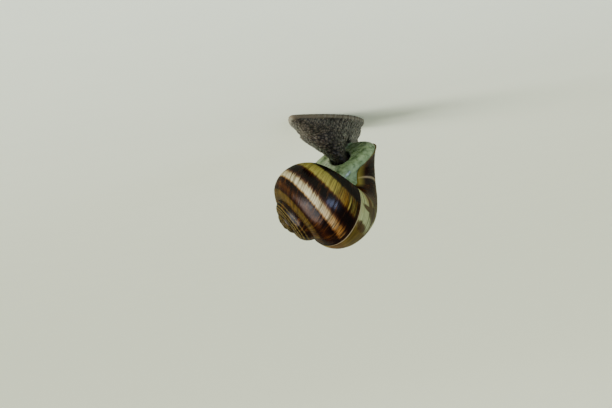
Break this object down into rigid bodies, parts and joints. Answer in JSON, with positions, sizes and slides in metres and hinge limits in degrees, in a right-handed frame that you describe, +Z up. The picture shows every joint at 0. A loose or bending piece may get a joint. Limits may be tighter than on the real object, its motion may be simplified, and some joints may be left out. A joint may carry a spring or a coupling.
{
  "type": "garden snail",
  "caption": "Life-size banded land snail resting on its sole: domed spiral shell carried over a tapered foot, with the mantle, neck, head and eye stalks out.",
  "frame": {"origin": "on the sole, straight under the middle of the shell's mouth", "axes": "+X towards the head, +Y to the animal's left, +Z up from the sole"},
  "size_m": [0.0715, 0.0326, 0.043],
  "materials": {
    "shell": "glossy chalk shell under a thin horny skin, cream with broad red-brown bands and fine growth lines",
    "shell_fresh": "fresh, thin, translucent shell, greenish cream with faint bands",
    "shell_lip": "thin pale yellow growing edge",
    "skin": "moist grey-brown skin with raised lighter tubercles between dark grooves",
    "sole": "smooth moist paler foot edge",
    "mantle": "smooth wet grey-green mantle",
    "eye": "wet black"
  },
  "bodies": {
    "root": {"shell_apex": "shell", "shell_spire": "shell", "shell_penultimate_whorl": "shell", "shell_body_whorl": "shell", "shell_new_growth": "shell_fresh", "shell_lip": "shell_lip", "mantle_collar": "mantle", "trunk": "skin", "foot": "sole", "foot_front": "sole", "tail": "skin", "neck": "skin", "head": "skin", "mouth": "sole", "upper_tentacle_left": "skin", "upper_tentacle_right": "skin", "lower_tentacle_left": "skin", "lower_tentacle_right": "skin", "eye_left": "eye", "eye_right": "eye"}
  },
  "joints": []
}
